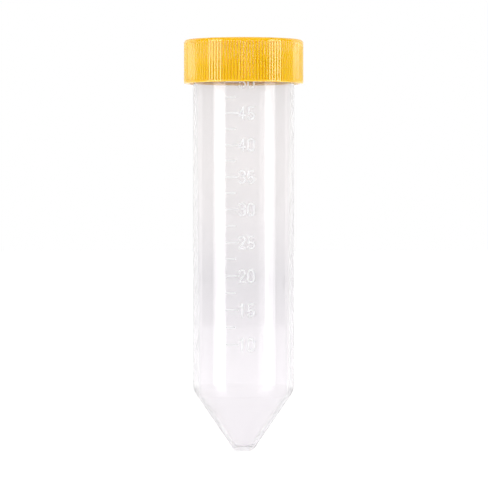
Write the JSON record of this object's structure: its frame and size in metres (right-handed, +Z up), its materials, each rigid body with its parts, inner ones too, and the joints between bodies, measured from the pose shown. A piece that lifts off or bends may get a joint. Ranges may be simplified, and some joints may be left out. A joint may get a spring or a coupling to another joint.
{
  "type": "conical screw-cap test tube",
  "caption": "Clear conical-bottom laboratory tube with a moulded volume scale and a ribbed yellow screw cap.",
  "frame": {"origin": "lowest point of the cone's tip, on the tube's axis", "axes": "+Z up the tube's axis towards the cap; the scale and its numerals face -Y"},
  "size_m": [0.034, 0.034, 0.117],
  "materials": {
    "clear_plastic": "clear, faintly milky polypropylene, glossy barrel and hazier cone",
    "frosted_relief": "the same plastic, frosted where it stands proud",
    "yellow_cap": "semi-gloss moulded polyethylene",
    "seal_foam": "matt closed-cell foam"
  },
  "bodies": {
    "tube": {"tube_body": "clear_plastic", "scale_ticks": "frosted_relief", "scale_numerals": "frosted_relief"},
    "liner": {"cap_liner": "seal_foam"},
    "cap": {"screw_cap": "yellow_cap"}
  },
  "joints": [
    {"name": "cap_lift", "type": "slide", "parent": "tube", "child": "liner", "axis": [0, 0, 1], "range_m": [0, 0.0162]},
    {"name": "cap_turn", "type": "hinge", "parent": "liner", "child": "cap", "pos_m": [0, 0, 0.11], "axis": [0, 0, 1], "range_deg": [0, 1800]}
  ],
  "couplings": [
    {"joint": "cap_lift", "follows": "cap_turn", "m_per_rad": 0.0005093}
  ]
}
